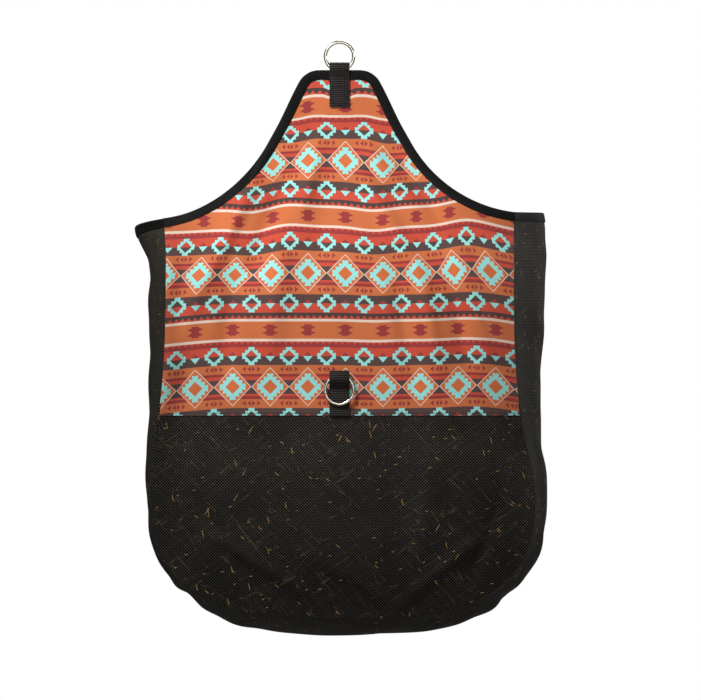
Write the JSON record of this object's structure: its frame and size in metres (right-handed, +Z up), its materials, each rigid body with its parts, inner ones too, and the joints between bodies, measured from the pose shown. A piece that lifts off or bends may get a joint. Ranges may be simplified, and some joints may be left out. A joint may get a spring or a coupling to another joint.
{
  "type": "hay bag",
  "caption": "Hanging hay bag with a tall printed front panel, black mesh body and gussets, tape-bound open mouth, and a webbing tab with a metal ring at the peak and on the front.",
  "frame": {"origin": "inside of the hang ring's crown, where a hook carries the bag", "axes": "+Z up, +X to the right of somebody who faces the printed panel, +Y away from them through the bag's depth"},
  "size_m": [0.508, 0.1524, 0.7585],
  "materials": {
    "ring_steel": "bright nickel plate on welded steel wire",
    "printed_cloth": "woven polyester with a geometric print in orange, red, brown and turquoise",
    "black_mesh": "vinyl-coated polyester mesh, slightly glossy",
    "black_tape": "woven polypropylene binding tape, satin",
    "black_webbing": "ribbed woven webbing, satin",
    "black_thread": "twisted sewing thread"
  },
  "bodies": {
    "hang_ring": {"hang_ring": "ring_steel"},
    "bag": {"front_print_panel": "printed_cloth", "front_mesh_panel": "black_mesh", "back_mesh_panel": "black_mesh", "gusset_left": "black_mesh", "gusset_right": "black_mesh", "gusset_bottom": "black_mesh", "neck_binding": "black_tape", "mouth_binding_left": "black_tape", "mouth_binding_right": "black_tape", "mouth_binding_back": "black_tape", "front_seam_binding": "black_tape", "back_seam_binding": "black_tape", "corner_binding_left": "black_tape", "corner_binding_right": "black_tape", "hang_tab": "black_webbing", "lower_tab": "black_webbing", "hang_tab_stitching": "black_thread", "lower_tab_stitching": "black_thread"},
    "lower_ring": {"lower_ring": "ring_steel"}
  },
  "joints": [
    {"name": "bag_swing", "type": "hinge", "parent": "hang_ring", "child": "bag", "pos_m": [0, 0, -0.03073], "axis": [1, 0, 0], "range_deg": [-135, 135]},
    {"name": "lower_ring_swing", "type": "hinge", "parent": "bag", "child": "lower_ring", "pos_m": [0, -0.0738, -0.4256], "axis": [-1, 0, 0], "range_deg": [0, 175]}
  ]
}
